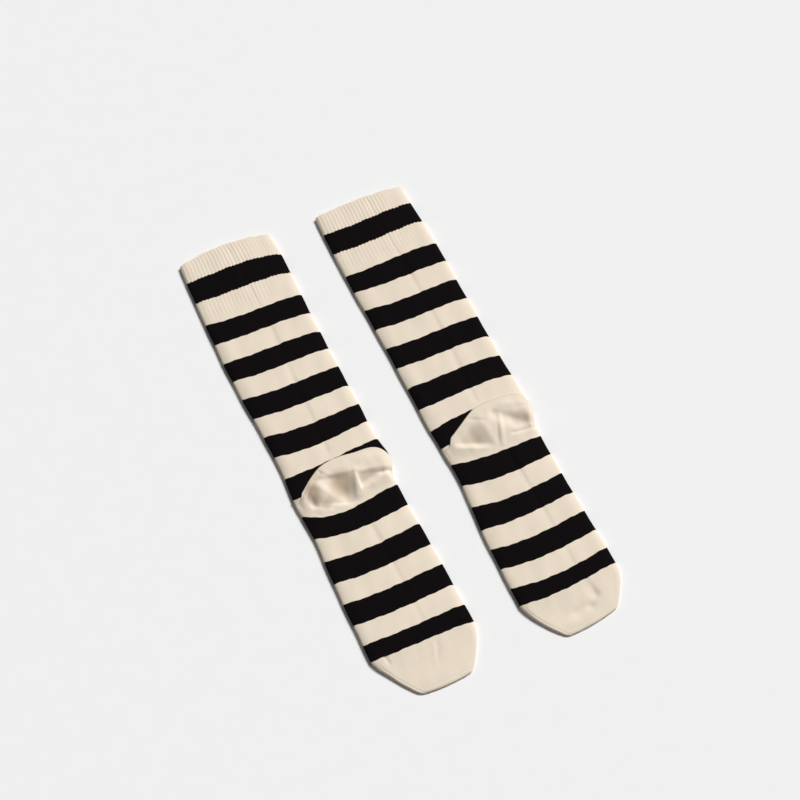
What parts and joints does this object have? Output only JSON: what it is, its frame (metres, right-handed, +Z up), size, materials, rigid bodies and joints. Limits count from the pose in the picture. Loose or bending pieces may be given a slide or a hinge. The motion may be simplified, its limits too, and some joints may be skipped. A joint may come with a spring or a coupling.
{
  "type": "pair of socks",
  "caption": "Pair of knitted crew socks in wide stripes, laid flat side by side with the heel pockets folded up over the legs; ribbed cuffs and tapered toes.",
  "frame": {"origin": "under the middle of the pair, on the plane the socks lie on", "axes": "+Y along the socks towards the cuffs, toes at -Y; +X to the right as seen from the toes; +Z up, out of the side that shows"},
  "size_m": [0.2099, 0.4433, 0.0092],
  "materials": {
    "cream_rib": "matte ribbed cotton knit with one dark stripe",
    "striped_knit": "matte fine cotton knit in cream and black stripes",
    "cream_knit": "matte fine cotton knit"
  },
  "bodies": {
    "root": {"left_cuff": "cream_rib", "left_leg": "striped_knit", "left_heel": "cream_knit", "left_foot": "striped_knit", "left_toe": "cream_knit", "right_cuff": "cream_rib", "right_leg": "striped_knit", "right_heel": "cream_knit", "right_foot": "striped_knit", "right_toe": "cream_knit"}
  },
  "joints": []
}
